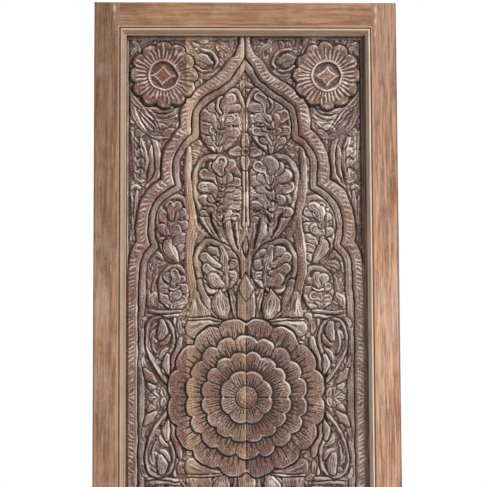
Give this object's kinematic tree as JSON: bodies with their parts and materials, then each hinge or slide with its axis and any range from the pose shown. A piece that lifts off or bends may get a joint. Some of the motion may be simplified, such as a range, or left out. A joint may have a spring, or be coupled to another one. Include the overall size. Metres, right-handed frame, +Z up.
{
  "type": "carved double door",
  "caption": "Tall wooden double door with a moulded frame and two pivot-hung leaves carved with a lobed arch, corner flowers and a round medallion.",
  "frame": {"origin": "middle of the underside of the sill rail, midway through the frame's depth", "axes": "+X across the door to the right as seen from the carved front, +Y from the carved front to the back, +Z up"},
  "size_m": [0.806, 0.0815, 2.1],
  "materials": {
    "frame_wood": "dry, waxed brown hardwood with worn pale edges",
    "peg_wood": "plain riven hardwood",
    "plank_outer_left": "reddish brown with worn pale wash in the carving",
    "plank_inner_left": "tan orange brown with worn pale wash in the carving",
    "plank_inner_right": "grey purple brown with worn pale wash in the carving",
    "plank_outer_right": "grey brown with worn pale wash in the carving",
    "ledge_wood": "plain sawn brown hardwood",
    "forged_iron": "dark forged iron with light rust"
  },
  "bodies": {
    "frame": {"head_rail": "frame_wood", "sill_rail": "frame_wood", "jamb_left": "frame_wood", "jamb_right": "frame_wood", "frame_pegs": "peg_wood"},
    "leaf_left": {"plank_outer_left": "plank_outer_left", "plank_inner_left": "plank_inner_left", "ledge_1_left": "ledge_wood", "ledge_2_left": "ledge_wood", "ledge_3_left": "ledge_wood", "ledge_4_left": "ledge_wood", "nails_left": "forged_iron", "pivot_pins_left": "forged_iron"},
    "leaf_right": {"plank_outer_right": "plank_outer_right", "plank_inner_right": "plank_inner_right", "ledge_1_right": "ledge_wood", "ledge_2_right": "ledge_wood", "ledge_3_right": "ledge_wood", "ledge_4_right": "ledge_wood", "nails_right": "forged_iron", "pivot_pins_right": "forged_iron"}
  },
  "joints": [
    {"name": "leaf_left_swing", "type": "hinge", "parent": "frame", "child": "leaf_left", "pos_m": [-0.336, 0.0035, 1.05], "axis": [0, 0, 1], "range_deg": [0, 90]},
    {"name": "leaf_right_swing", "type": "hinge", "parent": "frame", "child": "leaf_right", "pos_m": [0.336, 0.0035, 1.05], "axis": [0, 0, -1], "range_deg": [0, 90]}
  ]
}
